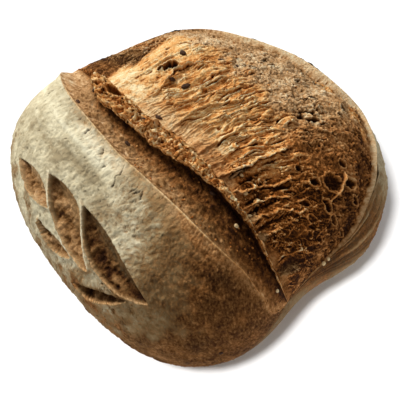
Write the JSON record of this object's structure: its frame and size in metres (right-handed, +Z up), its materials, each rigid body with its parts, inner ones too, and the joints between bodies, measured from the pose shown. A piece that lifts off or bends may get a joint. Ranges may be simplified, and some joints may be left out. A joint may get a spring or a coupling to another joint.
{
  "type": "seeded bread loaf",
  "caption": "Round crusty bread loaf with a long slash opened into a seeded ear, and wheat-ear leaf cuts on its floured flank; stands on a flat base.",
  "frame": {"origin": "centre of the bounding box at its bottom, in the plane the loaf stands on", "axes": "+Z up; X along the long slash; the opened bloom on the +Y side of the slash and the leaf cuts on the -Y side"},
  "size_m": [0.2144, 0.2126, 0.113],
  "materials": {
    "crust": "matte"
  },
  "bodies": {
    "root": {"loaf": "crust"}
  },
  "joints": []
}
